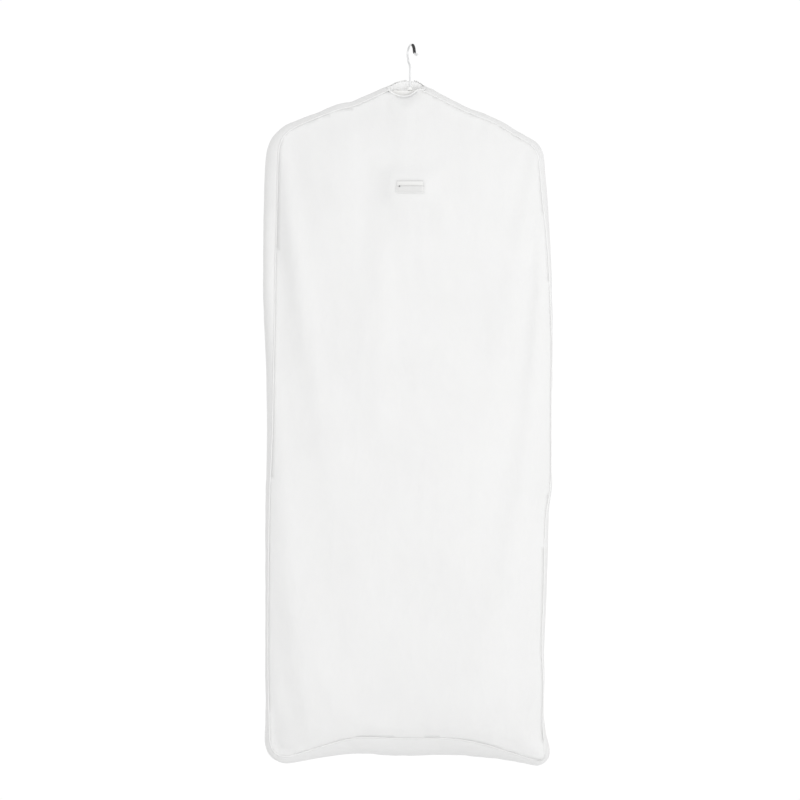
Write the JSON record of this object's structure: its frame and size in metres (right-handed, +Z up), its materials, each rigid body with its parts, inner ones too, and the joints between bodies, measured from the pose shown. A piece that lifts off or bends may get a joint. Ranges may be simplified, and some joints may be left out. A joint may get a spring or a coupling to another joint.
{
  "type": "garment bag",
  "caption": "Long white gusseted garment bag on a clothes hanger with a swivel hook, a full-length back zip and a name card pocket.",
  "frame": {"origin": "rail seat: the inner face of the hook's arch straight above the hanger's shank, where the hook rests on a rail", "axes": "+Z up along the shank; -Y out of the front panel, +Y out of the zipped back; +X to the right as seen from the front"},
  "size_m": [0.6016, 0.1222, 1.5181],
  "materials": {
    "hook_metal": "bright nickel-plated steel wire",
    "sleeve_vinyl": "black vinyl, satin",
    "hanger_plastic": "moulded off-white plastic, soft gloss",
    "bag_fabric": "fine plain-weave white cloth, matt with a faint sheen",
    "piping": "white bias-cut binding over cord",
    "zip_tape": "white woven tape",
    "zip_coil": "white nylon coil",
    "zip_metal": "nickel-plated, bright",
    "pocket_vinyl": "soft translucent vinyl",
    "card_paper": "plain uncoated card, blank"
  },
  "bodies": {
    "hook": {"hook_wire": "hook_metal", "hook_sleeve": "sleeve_vinyl", "hook_nut": "hook_metal"},
    "bag": {"hook_ferrule": "hook_metal", "hanger_body": "hanger_plastic", "hanger_bar": "hanger_plastic", "front_panel": "bag_fabric", "back_panel_left": "bag_fabric", "back_panel_right": "bag_fabric", "side_gusset_left": "bag_fabric", "side_gusset_right": "bag_fabric", "shoulder_gusset_left": "bag_fabric", "shoulder_gusset_right": "bag_fabric", "bottom_gusset": "bag_fabric", "front_piping": "piping", "back_piping": "piping", "neck_binding": "piping", "zip_tape_left": "zip_tape", "zip_tape_right": "zip_tape", "zip_coil_left": "zip_coil", "zip_coil_right": "zip_coil", "zip_top_stop_left": "zip_metal", "zip_top_stop_right": "zip_metal", "zip_bottom_stop": "zip_metal", "label_pocket": "pocket_vinyl"},
    "zip_slider": {"zip_slider": "zip_metal"},
    "zip_pull": {"zip_pull": "zip_metal"},
    "label_card": {"label_card": "card_paper"}
  },
  "joints": [
    {"name": "hook_swivel", "type": "hinge", "parent": "hook", "child": "bag", "pos_m": [0, 0, -0.1], "axis": [0, 0, 1], "continuous": true},
    {"name": "zip_slide", "type": "slide", "parent": "bag", "child": "zip_slider", "axis": [0, 0, -1], "range_m": [0, 1.368]},
    {"name": "zip_pull_swing", "type": "hinge", "parent": "zip_slider", "child": "zip_pull", "pos_m": [0, 0.0529, -0.1102], "axis": [1, 0, 0], "range_deg": [0, 170]},
    {"name": "label_card_slide", "type": "slide", "parent": "bag", "child": "label_card", "axis": [0, 0, 1], "range_m": [0, 0.0105]}
  ]
}
